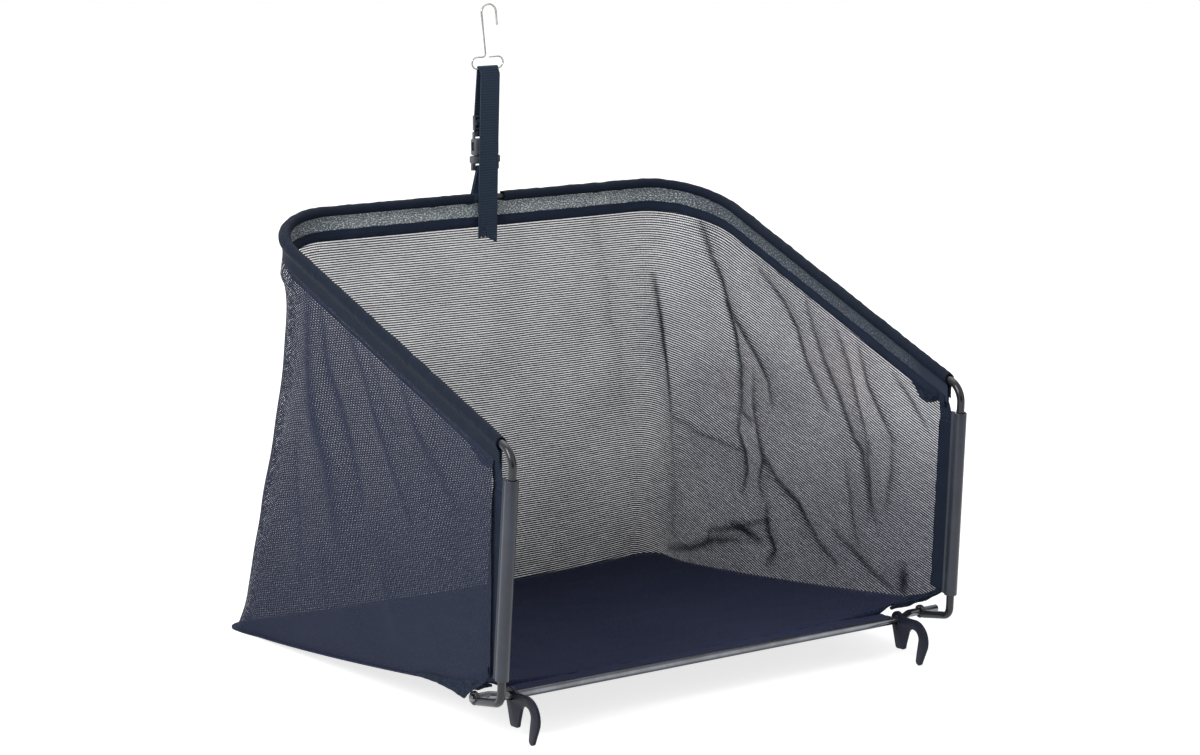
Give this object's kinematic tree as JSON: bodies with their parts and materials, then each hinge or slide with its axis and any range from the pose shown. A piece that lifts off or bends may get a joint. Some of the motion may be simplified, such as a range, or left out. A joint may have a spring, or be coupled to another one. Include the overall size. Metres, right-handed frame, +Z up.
{
  "type": "grass box",
  "caption": "Mesh grass catcher on a bent wire hoop, with an opaque floor, claws on a crossbar and a buckled strap with a wire hook.",
  "frame": {"origin": "centre of the bounding box, on the ground the box stands on", "axes": "+X across the box to the side whose crossbar end sticks out, +Y from the open front to the rear wall, +Z up"},
  "size_m": [0.4342, 0.4202, 0.4946],
  "materials": {
    "black_steel": "satin dark coating",
    "satin_steel": "satin dark coating",
    "claw_steel": "satin dark coating",
    "clip_plastic": "satin dark grey",
    "tape": "woven black tape",
    "hem_fabric": "doubled black-navy cloth",
    "floor_fabric": "opaque coated cloth, fine speckle",
    "mesh": "see-through knitted mesh, black-navy",
    "webbing": "ribbed slate-navy webbing",
    "buckle_plastic": "grey plastic",
    "zinc_wire": "bright zinc plate"
  },
  "bodies": {
    "box": {"hoop_rod": "black_steel", "crossbar": "satin_steel", "claw_left": "claw_steel", "claw_right": "claw_steel", "edge_clip_left": "clip_plastic", "edge_clip_right": "clip_plastic", "edge_tape_left": "tape", "edge_tape_right": "tape", "rim_hem": "hem_fabric", "rim_tape": "tape", "floor_sheet": "floor_fabric", "floor_hem": "floor_fabric", "mesh_wall": "mesh", "strap_lower": "webbing", "buckle_male": "buckle_plastic"},
    "strap_end": {"buckle_female": "buckle_plastic", "strap_upper": "webbing", "tri_glide": "buckle_plastic"},
    "hook": {"wire_hook": "zinc_wire"}
  },
  "joints": [
    {"name": "buckle_release", "type": "slide", "parent": "box", "child": "strap_end", "axis": [0, 0, 1], "range_m": [0, 0.0125]},
    {"name": "hook_swing", "type": "hinge", "parent": "strap_end", "child": "hook", "pos_m": [-0.00591, 0.14111, 0.4427], "axis": [1, 0, 0], "range_deg": [-90, 90]}
  ]
}
